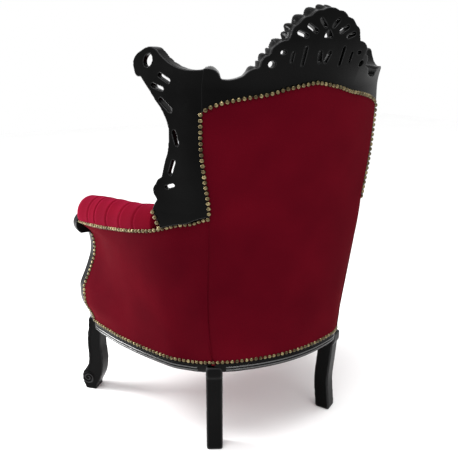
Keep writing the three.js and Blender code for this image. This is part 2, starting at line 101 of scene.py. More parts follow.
# heights of the arm's nail line and of the hem, against how far forward they are (minus y)
armLine = heightCurve([(-340, 764), (-305, 751), (-278, 735), (-242, 725), (-176, 701), (-60, 679), (66, 660),
                       (192, 646), (300, 638)])
hemLine = heightCurve([(-400, 306), (-335, 306), (-300, 302), (-270, 294), (-240, 287), (-190, 284),
                       (100, 284), (300, 279)])
# plan of a side: x, y and how far the spot is drawn in at the hem
sidePlan = np.array([(300, 272, 66), (340, 224, 68), (369, 177, 57), (389, 132, 53), (403, 88, 48),
                     (413, 44, 40), (421, 0, 32), (434, -66, 17), (448, -150, 0), (457, -192, 0),
                     (470, -262, 0)], float)


def edgeX(z):
    return np.where(np.asarray(z, float) > edgeTop, backEdge, edgeKnots(np.maximum(z, 250)))


# Grows from 0 above the arms to 1 at the hem.
def taperAt(z):
    drop = neckTop - np.asarray(z, float)
    return (drop + np.hypot(drop, 40)) / 720


def backY(x, z):
    x, z = np.asarray(x, float), np.asarray(z, float)
    lean = np.where(z > leanFrom, 0.12, 0.06) * (z - leanFrom)
    crest = 26 * smooth(1085, 1215, z)
    crest = crest + 8 * smooth(1080, 1150, z) * np.minimum(1, (x / 140) ** 2) * smooth(-300, -180, -abs(x))
    corner = 18 * taperAt(z) * (np.maximum(0, abs(x) - 170) / 65) ** 2
    return backMiddle - backBow(z) * x * x + lean + crest - corner


def backSurface(x, z):
    return np.stack([x + 0 * z, backY(x, z), z + 0 * x], -1)


# The back's surface carried round a soft corner, s = 0, and forward along the wing.
def wingSurface(s, z, cornerRun=22, cornerLead=44):
    s, z = np.broadcast_arrays(np.asarray(s, float), np.asarray(z, float))
    edge = edgeX(z)
    flare = wingFlare(z)
    ahead = np.stack([np.sin(flare), -np.cos(flare)], -1)
    start = np.stack([edge, backY(edge, z)], -1)
    across = np.stack([np.ones_like(z), backY(edge + 1, z) - start[..., 1]], -1)
    across /= np.linalg.norm(across, axis=-1, keepdims=True)
    corner = start + across * cornerRun
    end = corner + ahead * cornerLead
    t = np.linspace(0, 1, 25)
    turn = [(1 - k) ** 2 * start + 2 * k * (1 - k) * corner + k * k * end for k in t]
    lengths = [np.zeros_like(z)]
    for a, b in zip(turn, turn[1:]):
        lengths.append(lengths[-1] + np.linalg.norm(b - a, axis=-1))
    lengths = np.array(lengths)
    along = s + cornerRun
    spot = end + ahead * np.maximum(0, along - lengths[-1])[..., None]
    for a, b, low, high in zip(turn, turn[1:], lengths, lengths[1:]):
        inside = (along >= low) & (along < high)
        w = ((along - low) / (high - low))[..., None]
        spot = np.where(inside[..., None], a + (b - a) * w, spot)
    behind = along < 0
    spot[..., 0] = np.where(behind, edge + along, spot[..., 0])
    spot[..., 1] = np.where(behind, backY(edge + along, z), spot[..., 1])
    return np.concatenate([spot, z[..., None]], -1)


def planSpot(t, z):
    z = np.asarray(z, float)
    edge = edgeX(np.minimum(z, leanFrom))
    taper = taperAt(z)
    knots = [np.stack([edge, backY(edge, z)], -1)]
    knots += [np.stack([x - drawn * taper, y + 0 * taper], -1) for x, y, drawn in sidePlan]
    knots = np.array(knots)
    i = np.minimum(t.astype(int), len(knots) - 2)
    pick = lambda k: np.take_along_axis(knots, np.clip(i + k, 0, len(knots) - 1)[None, ..., None], 0)[0]
    return betweenKnots(*(pick(k) for k in (-1, 0, 1, 2)), (t - i)[..., None])


def runLengths(line):
    return np.concatenate([[0], np.cumsum(np.linalg.norm(np.diff(line, axis=0), axis=1))])


planSteps = np.linspace(0, len(sidePlan), 1200)
armPlan = planSpot(planSteps, np.full(len(planSteps), float(neckTop)))
armRun = runLengths(armPlan)


# The side from the back's corner, s = 0, forward, with the neck under its arm roll.
def sideSurface(s, z):
    s, z = np.broadcast_arrays(np.asarray(s, float), np.asarray(z, float))
    spot = planSpot(np.interp(s, armRun, planSteps), z)
    neck = np.where(z > neckTop, 0, neckKnots(z)) * smooth(-30, 215, -spot[..., 1])
    return np.stack([spot[..., 0] + neck, spot[..., 1], z], -1)


def sideRun(y):
    return float(np.interp(-y, -armPlan[:, 1], armRun))


def hemAt(surface, u):
    return hemLine(-surface(u, hemLevel)[..., 1])


def armTopAt(s):
    return armLine(-sideSurface(s, neckTop)[..., 1])


# A point at a depth inside one of the surfaces, measured level and square to its run.
def inward(surface, u, z, depth):
    u, z = np.asarray(u, float), np.asarray(z, float)
    run = surface(u + 0.5, z) - surface(u - 0.5, z)
    level = np.stack([run[..., 1], -run[..., 0], 0 * z + 0 * u], -1)
    level /= np.linalg.norm(level, axis=-1, keepdims=True)
    return surface(u, z) + level * np.asarray(depth, float)[..., None]


def deselect():
    if bpy.context.object and bpy.context.object.mode != "OBJECT":
        bpy.ops.object.mode_set(mode="OBJECT")
    bpy.ops.object.select_all(action="DESELECT")


def pickOnly(*pieces):
    deselect()
    for piece in pieces:
        piece.select_set(True)
    bpy.context.view_layer.objects.active = pieces[0]


def spotsOf(piece):
    spots = np.empty(len(piece.data.vertices) * 3)
    piece.data.vertices.foreach_get("co", spots)
    return spots.reshape(-1, 3)


def moveSpots(piece, spots):
    piece.data.vertices.foreach_set("co", np.ascontiguousarray(spots, float).ravel())
    piece.data.update()


def applied(piece, kind, **settings):
    pickOnly(piece)
    modifier = piece.modifiers.new(kind.lower(), kind)
    for name, value in settings.items():
        setattr(modifier, name, value)
    bpy.ops.object.modifier_apply(modifier=modifier.name)


# One mesh operator on the whole of the active piece.
def onWholeMesh(operator, **settings):
    bpy.ops.object.mode_set(mode="EDIT")
    bpy.ops.mesh.select_all(action="SELECT")
    operator(**settings)
    bpy.ops.object.mode_set(mode="OBJECT")


def facingOut(piece):
    pickOnly(piece)
    onWholeMesh(bpy.ops.mesh.remove_doubles, threshold=0.00001)
    onWholeMesh(bpy.ops.mesh.normals_make_consistent, inside=False)


# From the chair's plan in millimetres to the frame in metres.
def setDown(piece, spots):
    spots = np.array(spots, float)
    spots[:, 1] += planShift
    moveSpots(piece, spots / 1000)


# Names and shades a piece, and ties it to the frame; angle keeps edges sharper than that crisp.
def finished(piece, name, material, angle=None, nodes=()):
    piece.name = name
    piece.data.name = name
    piece.data.materials.clear()
    piece.data.materials.append(material)
    pickOnly(piece)
    if angle:
        bpy.ops.object.shade_smooth_by_angle(angle=math.radians(angle))
    else:
        bpy.ops.object.shade_smooth()
    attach(piece, "root")
    if nodes:
        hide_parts(*nodes)
    return piece


# A flat plate cut to an outline, in millimetres: x and y run over it, z through it.
def plate(outline, near, far):
    deselect()
    bpy.ops.mesh.primitive_circle_add(vertices=len(outline), radius=1, fill_type="NGON")
    piece = bpy.context.object
    moveSpots(piece, np.column_stack([np.array(outline, float), np.full(len(outline), float(near))]))
    onWholeMesh(bpy.ops.mesh.extrude_region_move, TRANSFORM_OT_translate={"value": (0, 0, far - near)})
    facingOut(piece)
    return piece


# A slot with round ends from a to b.
def slotOutline(a, b, width, around=12):
    turn = math.atan2(b[1] - a[1], b[0] - a[0])
    ends = []
    for (x, y), start in ((b, turn - math.pi / 2), (a, turn + math.pi / 2)):
        turns = [start + math.pi * k / around for k in range(around + 1)]
        ends += [(x + width / 2 * math.cos(t), y + width / 2 * math.sin(t)) for t in turns]
    return ends


def cutThrough(piece, outlines, near, far, clear=5):
    cutters = [plate(outline, near - clear, far + clear) for outline in outlines]
    pickOnly(*cutters)
    bpy.ops.object.join()
    cutter = bpy.context.object
    applied(piece, "BOOLEAN", operation="DIFFERENCE", object=cutter, solver="EXACT", use_self=False)
    bpy.data.objects.remove(cutter)


# Turns a sharp sawn shape into one even skin, as sanded wood is.
def sanded(piece, grain, passes):
    applied(piece, "REMESH", mode="VOXEL", voxel_size=grain, adaptivity=0)
    applied(piece, "SMOOTH", factor=0.5, iterations=passes)


# An edge of lobes: each knot is the lobe's end and how far it bulges. Also counts the lobes along it.
def scallops(start, knots, steps):
    points, lobes = [start], [0]
    for lobe, (x, z, bulge) in enumerate(knots):
        ax, az = points[-1]
        for step in range(1, steps + 1):
            t = step / steps
            lift = 4 * t * (1 - t) * bulge / math.hypot(x - ax, z - az)
            points.append((ax + (x - ax) * t - (z - az) * lift, az + (z - az) * t + (x - ax) * lift))
            lobes.append(lobe + t)
    return points, lobes


# Distance from each spot to the nearest point of a line, and the line's own reading there.
def nearLine(spots, line, readings, batch=4000):
    line, readings = np.array(line, float), np.array(readings, float)
    away, reading = np.empty(len(spots)), np.empty(len(spots))
    for first in range(0, len(spots), batch):
        part = spots[first:first + batch]
        gaps = ((part[:, None, :] - line[None]) ** 2).sum(-1)
        best = gaps.argmin(1)
        away[first:first + batch] = np.sqrt(gaps[np.arange(len(part)), best])
        reading[first:first + batch] = readings[best]
    return away, reading


def toLinear(code):
    parts = [int(code[i:i + 2], 16) / 255 for i in (1, 3, 5)]
    return [c / 12.92 if c <= 0.04045 else ((c + 0.055) / 1.055) ** 2.4 for c in parts] + [1]


# In settings and links a number is a socket's place, and ".name" is a property of the node itself.
def addNode(material, kind, settings=None, links=None):
    tree = material.node_tree
    node = tree.nodes.new(kind)
    for key, value in (settings or {}).items():
        if key.startswith("."):
            setattr(node, key[1:], value)
        else:
            node.inputs[int(key) if key.isdigit() else key].default_value = value
    for key, source in (links or {}).items():
        tree.links.new(source, node.inputs[int(key) if key.isdigit() else key])
    return node


def newMaterial(name):
    material = bpy.data.materials.new(name)
    material.use_nodes = True
    material.node_tree.nodes.clear()
    return material


def surfaceOf(material, settings, links):
    shader = addNode(material, "ShaderNodeBsdfPrincipled", settings, links)
    addNode(material, "ShaderNodeOutputMaterial", None, {"Surface": shader.outputs[0]})
    return material


def colourRamp(material, source, stops):
    ramp = addNode(material, "ShaderNodeValToRGB", None, {"Fac": source})
    for index, (place, code) in enumerate(stops):
        stop = ramp.color_ramp.elements[index] if index < 2 else ramp.color_ramp.elements.new(place)
        stop.position = place
        stop.color = toLinear(code)
    return ramp.outputs[0]


def objectSpot(material):
    return addNode(material, "ShaderNodeTexCoord").outputs["Object"]


def noise(material, spot, scale, detail, roughness=0.5):
    settings = {"Scale": scale, "Detail": detail, "Roughness": roughness}
    return addNode(material, "ShaderNodeTexNoise", settings, {"Vector": spot}).outputs[0]


def relief(material, height, strength, distance):
    settings = {"Strength": strength, "Distance": distance}
    return addNode(material, "ShaderNodeBump", settings, {"Height": height}).outputs[0]


def spread(material, source, low, high, least, most):
    settings = {"From Min": low, "From Max": high, "To Min": least, "To Max": most}
    return addNode(material, "ShaderNodeMapRange", settings, {"Value": source}).outputs[0]


def paleFloor():
    # matt painted studio floor: even, no gloss
    material = newMaterial("floorPaint")
    mottle = noise(material, objectSpot(material), 1.5, 2.0)
    tone = colourRamp(material, mottle, [(0.3, "#fbfbfb"), (0.7, "#fdfdfd")])
    return surfaceOf(material, {"Roughness": 0.9, "Specular IOR Level": 0.1}, {"Base Color": tone})


# the camera's place in metres in the chair's plan, heading and dip in degrees, lens and sensor in millimetres
view = {"x": 0.9699, "y": 1.639, "z": 1.1726, "heading": 30.19, "dip": 16.6, "lens": 46.29, "sensor": 36}
room = {"floor": 16, "glow": 1.0}
# name, where, aimed at, side in metres, power in watts
lamps = [
    ("frontWindow", (2.6, -2.2, 2.6), (0.2, 0, 0.6), 1.0, 110),
    ("overhead", (0.4, 0.6, 3.2), (0, 0, 0.5), 1.8, 70),
    ("backFill", (-0.6, 3.2, 1.4), (0, 0, 0.7), 1.2, 8),
    ("sideGlow", (1.15, -0.75, 0.52), (0.45, -0.27, 0.52), 0.4, 9.5),
]


def aimed(piece, direction):
    piece.rotation_euler = direction.to_track_quat("-Z", "Y").to_euler()


def studio():
    deselect()
    bpy.ops.mesh.primitive_plane_add(size=room["floor"], location=(0, 0, 0))
    floor = bpy.context.object
    floor.name = "floor"
    floor.data.materials.append(paleFloor())

    world = bpy.data.worlds.new("studio")
    bpy.context.scene.world = world
    world.use_nodes = True
    world.node_tree.nodes["Background"].inputs[0].default_value = (1, 1, 1, 1)
    world.node_tree.nodes["Background"].inputs[1].default_value = room["glow"]
    # plain tones, so that white stays white
    bpy.context.scene.view_settings.view_transform = "Standard"

    for name, where, aim, side, watts in lamps:
        bpy.ops.object.light_add(type="AREA", location=where)
        lamp = bpy.context.object
        lamp.name = name
        lamp.data.size = side
        lamp.data.energy = watts
        aimed(lamp, Vector(aim) - Vector(where))

    bpy.ops.object.camera_add(location=(view["x"], view["y"] + planShift / 1000, view["z"]))
    camera = bpy.context.object
    camera.name = "camera"
    camera.data.lens = view["lens"]
    camera.data.sensor_width = view["sensor"]
    heading, dip = math.radians(view["heading"]), math.radians(view["dip"])
    level = math.cos(dip)
    aimed(camera, -Vector((math.sin(heading) * level, math.cos(heading) * level, math.sin(dip))))
    bpy.context.scene.camera = camera
    print("studio ready")


studio()


def blackLacquer(name, gloss, edgeHighlightTone):
    # carved beech under sprayed black nitro lacquer, rubbed to a satin gloss with soft long highlights
    material = newMaterial(name)
    spot = objectSpot(material)
    haze = noise(material, spot, 9.0, 4.0, 0.6)
    film = colourRamp(material, haze, [(0.3, "#020202"), (0.6, "#040404"), (0.8, "#080808")])
    # carved arrises are painted a lighter grey by their pointiness: a painted highlight where the edges catch
    # the light
    shape = addNode(material, "ShaderNodeNewGeometry")
    edgeHighlight = spread(material, shape.outputs["Pointiness"], 0.515, 0.6, 0, 1)
    mixing = {".data_type": "RGBA", "7": toLinear(edgeHighlightTone)}
    highlight = addNode(material, "ShaderNodeMix", mixing, {"Factor": edgeHighlight, "6": film})
    satin = spread(material, haze, 0.3, 0.75, 0.2, 0.3)
    # rubbed grain of about 1.5 mm under the film
    stretch = addNode(material, "ShaderNodeMapping", {"Scale": (1.0, 1.0, 0.15)}, {"Vector": spot})
    bump = relief(material, noise(material, stretch.outputs[0], 420.0, 2.0), 0.12, 0.0004)
    return surfaceOf(material, {"IOR": 1.5, "Specular IOR Level": gloss},
                     {"Base Color": highlight.outputs["Result"], "Roughness": satin, "Normal": bump})


def cottonVelvet(name, deep, main, raised, sheenTone, highlight):
    # short cut pile velvet: dark where the pile is looked into, a light bloom where it is looked along
    material = newMaterial(name)
    spot = objectSpot(material)
    brushed = noise(material, spot, 5.0, 2.0)
    tone = colourRamp(material, brushed, [(0.3, deep), (0.52, main), (0.75, raised)])
    # tufts of pile about 1 mm across
    pile = noise(material, spot, 900.0, 2.0)
    flecks = spread(material, pile, 0.3, 0.7, 0.86, 1.1)
    mixing = {".data_type": "RGBA", ".blend_type": "MULTIPLY", "Factor": 1.0}
    cloth = addNode(material, "ShaderNodeMix", mixing, {"6": tone, "7": flecks})
    bump = relief(material, pile, 0.25, 0.0006)
    feel = {"IOR": 1.45, "Roughness": 0.95, "Specular IOR Level": 0.03, "Sheen Weight": highlight,
            "Sheen Roughness": 0.38, "Sheen Tint": toLinear(sheenTone)}
    return surfaceOf(material, feel, {"Base Color": cloth.outputs["Result"], "Normal": bump})


def agedBrass():
    # pressed brass nail heads with a brown patina, patchy lighter and darker
    material = newMaterial("agedBrass")
    patina = noise(material, objectSpot(material), 70.0, 3.0)
    tone = colourRamp(material, patina, [(0.32, "#3a3224"), (0.5, "#5e543c"), (0.7, "#8f825f")])
    rough = spread(material, patina, 0, 1, 0.42, 0.24)
    return surfaceOf(material, {"Metallic": 1.0}, {"Base Color": tone, "Roughness": rough})


# the last tone is the painted highlight on the carved arrises: grey on the carving and the beads, near black
# on the rails
lacquer = blackLacquer("blackNitroLacquer", 0.05, "#4a4a4b")
railLacquer = blackLacquer("plainNitroLacquer", 0.05, "#060606")
beadLacquer = blackLacquer("polishedBeadLacquer", 0.9, "#303031")
# one velvet inside and out: the outside copy is painted darker as shade on the outside panels, and the inside
# copy lighter as light on the roll top
outerVelvet = cottonVelvet("velvetPaintedShadeOutside", "#42020d", "#49030f", "#500411", "#c01020", 0.12)
innerVelvet = cottonVelvet("velvetPaintedLightInside", "#550312", "#600415", "#6c0619", "#ff3078", 0.3)
brass = agedBrass()
print("finishes mixed")


# Finishes a piece on the chair's left and a mirrored copy of it on the right.
def pair(piece, name, material, angle=None, nodes=()):
    pickOnly(piece)
    bpy.ops.object.duplicate()
    twin = bpy.context.object
    spots = spotsOf(twin)
    spots[:, 0] *= -1
    moveSpots(twin, spots)
    facingOut(twin)
    finished(piece, name + "Left", material, angle, [node + "_left" for node in nodes])
    finished(twin, name + "Right", material, angle, [node + "_right" for node in nodes])
    return piece, twin


# A curve from a to b, pulled towards a third point, without its last spot.
def curved(a, pull, b, steps=8):
    t = np.linspace(0, 1, steps + 1)[:-1, None]
    line = (1 - t) ** 2 * np.array(a) + 2 * t * (1 - t) * np.array(pull) + t * t * np.array(b)
    return [tuple(spot) for spot in line]


crest = {"half": 288, "top": 1279, "thick": 36, "grain": 2.0, "pierce": 0.5, "lobeFull": 9, "hollow": 8,
         "flare": 10, "field": 13, "shellFoot": 1140, "flute": 2.6, "flutes": 22, "ring": 6,
         "ringRadius": 20, "stem": 7, "stemHigh": 1121, "knob": 20, "knobGroove": 2.2}


def makeCrest():
    # the edge from the top to the right end, a lobe for each knot
    knots = [(24, 1273, 2), (58, 1259, 5), (90, 1240, 5), (107, 1222, 4), (113, 1204, -1), (150, 1184, 5),
             (149, 1169, 2), (169, 1155, 5), (168, 1139, 1), (200, 1121, 6), (248, 1113, -5),
             (crest["half"], 1138, 10)]
    half, lobes = scallops((0, crest["top"]), knots, 10)
    under = [(x, float(openingTop(x)) + 0.8) for x in np.linspace(crest["half"], 0, 40)]
    right = half + under
    outline = right[:-1] + [(-x, z) for x, z in reversed(right)][:-1]
    piece = plate(outline, 0, crest["thick"])

    # slots of the shell from the middle outwards, then those of the base
    slots = [((12, 1236), (27, 1251), 8), ((38, 1224), (60, 1236), 9), ((64, 1213), (86, 1220), 9),
             ((9, 1154), (15, 1174), 11), ((59, 1146), (60, 1186), 8), ((92, 1153), (93, 1174), 7),
             ((116, 1175), (122, 1175), 9), ((140, 1147), (143, 1148), 15)]
    holes = [slotOutline((side * a[0], a[1]), (side * b[0], b[1]), width + crest["pierce"])
             for side in (-1, 1) for a, b, width in slots]
    # and a pointed opening in the middle
    one, other, peak = (-14, 1208), (14, 1208), (0, 1229)
    sides = (one, (0, 1213), other), (other, (10, 1222), peak), (peak, (-10, 1222), one)
    holes.append([spot for side in sides for spot in curved(*side)])
    cutThrough(piece, holes, 0, crest["thick"])
    sanded(piece, crest["grain"], 4)

    spots = spotsOf(piece)
    x, z, depth = spots.T
    away, lobe = nearLine(np.column_stack([abs(x), z]), half, lobes)
    ridge = abs(np.sin(math.pi * lobe)) ** 0.7
    front = smooth(0.25, 1, depth / crest["thick"])
    carved = crest["lobeFull"] * ridge * (1 - smooth(4, 26, away))
    carved = carved - crest["hollow"] * smooth(8, 20, away) * (1 - smooth(30, 46, away))
    # flutes fan out from the foot of the shell, round a small ring
    up = z - crest["shellFoot"]
    turn, reach = np.arctan2(x, up), np.hypot(x, up)
    fan = smooth(22, 50, reach) * smooth(1150, 1180, z) * smooth(14, 22, away)
    carved += crest["flute"] * np.cos(crest["flutes"] * turn) * fan
    carved += crest["ring"] * np.exp(-((reach - crest["ringRadius"]) / 9) ** 2)
    # a stem winds along each side below it
    stem = crest["stemHigh"] + 22 * np.sin((abs(x) - 40) / 52)
    reached = smooth(30, 60, abs(x)) * (1 - smooth(215, 250, abs(x)))
    carved += crest["stem"] * np.exp(-((z - stem) / 7) ** 2) * reached
    # the pierced field is sunk well below the lobes
    carved -= crest["field"] * smooth(12, 24, away) * smooth(1128, 1140, z)
    # the last bump on each side is a thick knob with grooves
    knob = smooth(1110, 1122, z) * smooth(246, 256, abs(x))
    carved += knob * (crest["knob"] + crest["knobGroove"] * np.cos((z - 1114) / 2.1))
    # the lobes spread outwards towards the front
    flare = crest["flare"] * front * (1 - smooth(0, 26, away)) * ridge * smooth(1125, 1140, z)
    outwardX, outwardZ = np.sign(x) * np.minimum(1, abs(x) / 90), np.ones_like(z)
    size = np.hypot(outwardX, outwardZ)
    x, z = x + flare * outwardX / size * 0.8, z + flare * outwardZ / size
    depth = depth + carved * front * smooth(0.5, 1, depth / crest["thick"])
    setDown(piece, inward(backSurface, x, z, depth))
    finished(piece, "crest", lacquer, nodes=["crest_rail"])


makeCrest()
print("crest carved")


wing = {"rear": -27, "thick": 26, "grain": 2.3, "full": 5, "hollow": 3, "leafPitch": 26, "field": 9,
        "bead": 3, "armLevel": 730}


def makeWings():
    # the edge over the arm, then up the front and back along the top
    rear = wing["rear"]
    over = lambda s: float(armLine(-wingSurface(s, wing["armLevel"])[..., 1])) + 1.2
    under = [(s, over(s)) for s in np.linspace(rear, 123, 40)]
    knots = [(146, 762, 0), (128, 797, -3), (127, 841, -12), (107, 859, -3), (81, 925, -2), (74, 985, 2),
             (118, 1055, 6), (175, 1116, 2), (197, 1128, -6), (183, 1181, -17), (129, 1182, -8),
             (50, 1140, 5), (rear, 1137, 4)]
    edge, _ = scallops(under[-1], knots, 12)
    piece = plate(under[:-1] + edge, 0, wing["thick"])
    ear = [(155 + 15 * math.cos(k * math.pi / 16), 1156 + 16 * math.sin(k * math.pi / 16)) for k in range(32)]
    slots = [((108, 1121), (74, 1106), 10), ((129, 1095), (95, 1086), 10), ((101, 1059), (68, 1034), 12),
             ((57, 979), (48, 951), 12.5), ((64, 903), (78, 872), 11), ((95, 833), (73, 840), 9)]
    cutThrough(piece, [ear] + [slotOutline(*slot) for slot in slots], 0, wing["thick"])
    sanded(piece, wing["grain"], 4)

    spots = spotsOf(piece)
    s, z, depth = spots.T
    line = np.array(edge[12:])
    away, along = nearLine(np.column_stack([s, z]), line, runLengths(line))
    front = smooth(0.5, 1, depth / wing["thick"])
    leaf = abs(np.sin(math.pi * along / wing["leafPitch"])) ** 0.6
    carved = wing["full"] * leaf * (1 - smooth(8, 18, away))
    carved = carved - wing["hollow"] * smooth(14, 20, away) * (1 - smooth(30, 40, away))
    carved += wing["bead"] * np.exp(-((away - 22) / 3) ** 2) - wing["field"] * smooth(8, 18, away)
    depth = depth + carved * front
    setDown(piece, inward(wingSurface, s, z, depth))
    pair(piece, "wing", lacquer, nodes=["wing"])


makeWings()
print("wings carved")


# A bar of one section, in millimetres (depth, rise). place(run from 0 to 1, depth, rise) gives its spots.
def bar(section, steps, place):
    count = len(section)
    deselect()
    bpy.ops.mesh.primitive_cylinder_add(vertices=count, radius=1, depth=1, end_fill_type="NGON")
    piece = bpy.context.object
    bpy.ops.object.mode_set(mode="EDIT")
    bpy.ops.mesh.select_all(action="DESELECT")
    bpy.ops.object.mode_set(mode="OBJECT")
    corners = spotsOf(piece)
    bpy.context.tool_settings.mesh_select_mode = (False, True, False)
    for edge in piece.data.edges:
        a, b = edge.vertices
        edge.select = bool(abs(corners[a][2] - corners[b][2]) > 0.5)
    bpy.ops.object.mode_set(mode="EDIT")
    bpy.ops.mesh.subdivide(number_cuts=steps - 1)
    bpy.ops.object.mode_set(mode="OBJECT")
    spots = spotsOf(piece)
    turn = np.arctan2(spots[:, 1], spots[:, 0])
    index = np.rint(turn / (2 * math.pi) * count).astype(int) % count
    section = np.array(section, float)
    moveSpots(piece, place(spots[:, 2] + 0.5, section[index, 0], section[index, 1]))
    facingOut(piece)
    return piece


rail = {"drop": 31, "thick": 28, "proud": 2, "rearHalf": 228, "start": 276, "end": -206,
        "beads": (-21.5, -13), "bead": 2.7, "beadOut": 2.6, "beadSink": 6, "rearBlocks": (26, 26),
        "sideBlocks": (54, 12)}


def railSection():
    low, face = -rail["drop"], -rail["proud"]
    section = [(rail["thick"], -0.8), (rail["thick"], low)]
    section += [(4 - 6 * math.sin(t), low + 4 - 4 * math.cos(t)) for t in np.linspace(0, math.pi / 2, 5)]
    return section + [(face, -8.5), (face, -3), (face / 2, -0.8)]


def makeRails():
    def along(surface, start, end, plainStart, plainEnd, sink=0):
        def place(run, depth, rise):
            u = mix(start, end, run)
            # the beads fade into a plain block at both ends
            block = smooth(plainStart - 3, plainStart + 3, u - start)
            block = block * smooth(plainEnd - 3, plainEnd + 3, end - u)
            flat = -rail["proud"]
            depth = np.where(depth < flat, flat + (depth - flat) * block, depth) + (block < 0.5) * sink
            return inward(surface, u, hemAt(surface, u) + rise, depth)
        return place

    def beads(*run):
        strips = []
        turns = np.linspace(0, 2 * math.pi, 13)[:-1]
        out, radius = rail["beadOut"], rail["bead"]
        for middle in rail["beads"]:
            section = [(-out - radius * math.sin(t), middle + radius * math.cos(t)) for t in turns]
            strips.append(bar(section, 140, along(*run, sink=rail["beadSink"])))
            setDown(strips[-1], spotsOf(strips[-1]))
        pickOnly(*strips)
        bpy.ops.object.join()
        return bpy.context.object

    rearRun = backSurface, -rail["rearHalf"], rail["rearHalf"], *rail["rearBlocks"]
    sideRuns = sideSurface, sideRun(rail["start"]), sideRun(rail["end"]), *rail["sideBlocks"]
    rear = bar(railSection(), 90, along(*rearRun))
    setDown(rear, spotsOf(rear))
    finished(rear, "rearRail", railLacquer, 40, ["rear_rail"])
    side = bar(railSection(), 110, along(*sideRuns))
    setDown(side, spotsOf(side))
    pair(side, "sideRail", railLacquer, 40, ["side_rail"])
    finished(beads(*rearRun), "rearBeads", beadLacquer, 40)
    pair(beads(*sideRuns), "sideBeads", beadLacquer, 40)


makeRails()
print("rails moulded")


frontLeg = {"x": 433, "y": -272, "heading": -45, "wide": 52, "top": 281, "grain": 2.0, "leaf": 5,
            "veins": 1.3, "spine": 1.6, "foot": 3, "scroll": 3.2, "coils": 1.8, "scrollOut": 5,
            "scrollHigh": 46, "ledge": 2.6}
rearLeg = {"x": 218, "y": 258, "heading": 62, "wide": 50, "top": 286, "block": 6, "blockFrom": 252,
           "grain": 3.2}


# Turns a leg's own (out, up, across) to its place under the chair.
def standing(spots, leg):
    out, z, across = spots.T
    turn = math.radians(leg["heading"])
    x = leg["x"] + out * math.cos(turn) + across * math.sin(turn)
    y = leg["y"] + out * math.sin(turn) - across * math.cos(turn)
    return np.column_stack([x, y, z])


def makeFrontLegs():
    # the two edges of the leg seen from its side, up the shin and down the calf
    outer = splinePoints([(18, 0), (23, 12), (25, 40), (23, 66), (14, 84), (4, 102), (0, 140), (2, 174),
                          (0, 205), (-6, 240)], 60)
    inner = splinePoints([(-50, 240), (-48, 180), (-51, 140), (-52, 106), (-46, 66), (-36, 40), (-25, 19),
                          (-20, 6)], 44)
    ends = [(-10, frontLeg["top"]), (-54, frontLeg["top"])]
    outline = [(-20, 0)] + [tuple(p) for p in outer] + ends + [tuple(p) for p in inner]
    half = frontLeg["wide"] / 2
    piece = plate(outline, -half, half)
    sanded(piece, frontLeg["grain"], 9)

    spots = spotsOf(piece)
    out, z, across = spots.T
    shin = np.interp(z, outer[:, 1], outer[:, 0])
    face = smooth(14, 2, shin - out)
    flat = abs(across)
    # a leaf down the shin with veins, and a scroll on each side of the foot
    leafHalf = np.interp(z, [60, 80, 130, 190, 230, 275], [20, 12, 9, 17, 21, 14])
    leaf = smooth(0, 5, leafHalf - flat)
    veins = np.cos((z - 1.3 * flat) / 5.2) * smooth(3, 9, flat)
    spine = frontLeg["spine"] * np.exp(-(flat / 2.2) ** 2)
    carved = face * smooth(75, 100, z) * (frontLeg["leaf"] * leaf + frontLeg["veins"] * veins * leaf - spine)
    foot = face * (1 - smooth(62, 78, z)) * smooth(10, 22, z)
    carved += foot * (frontLeg["foot"] + 1.6 * np.cos(flat / 3.4))
    side = smooth(half - 7, half - 2, flat)
    ahead, up = out - frontLeg["scrollOut"], z - frontLeg["scrollHigh"]
    reach, coil = np.hypot(ahead, up), np.arctan2(up, ahead)
    turns = frontLeg["scroll"] + frontLeg["coils"] * np.cos(2 * math.pi * reach / 11 - coil)
    scroll = (1 - smooth(20, 25, reach)) * turns * smooth(1, 4, reach)
    band = np.exp(-((shin - out - 6) / 4.2) ** 2) * smooth(70, 84, z)
    ledge = frontLeg["ledge"] * band * (0.75 + 0.25 * np.cos(z / 4.4))
    across = across + np.sign(across) * side * (scroll + ledge)
    setDown(piece, standing(np.column_stack([out + carved, np.maximum(z, 0), across]), frontLeg))
    pair(piece, "frontLeg", lacquer, nodes=["front_leg"])


def makeRearLegs():
    kick = splinePoints([(0, 0), (-3, 30), (-9, 90), (-9, 130), (-4, 190), (0, 246)], 40)
    half, low = rearLeg["wide"] / 2, rearLeg["blockFrom"]
    out = half + rearLeg["block"]
    block = [(out - 2, low), (out, low + 4), (out, rearLeg["top"]), (-half, rearLeg["top"])]
    outline = [(u + half, z) for u, z in kick] + block + [(u - half, z) for u, z in kick[::-1]]
    piece = plate(outline, -half, half)
    sanded(piece, rearLeg["grain"], 7)
    spots = spotsOf(piece)
    spots[:, 1] = np.maximum(spots[:, 1], 0)
    setDown(piece, standing(spots, rearLeg))
    pair(piece, "rearLeg", lacquer, nodes=["rear_leg"])


makeFrontLegs()
makeRearLegs()
print("legs shaped")


apron = {"half": 385, "thick": 34, "top": 330, "bow": 34, "y": -298, "grain": 2.4, "shell": 46,
         "shellHigh": 300, "edgeBead": 4, "topBead": 3, "rays": 5.5, "stem": 5, "stemHigh": 291,
         "leaves": 4.5}


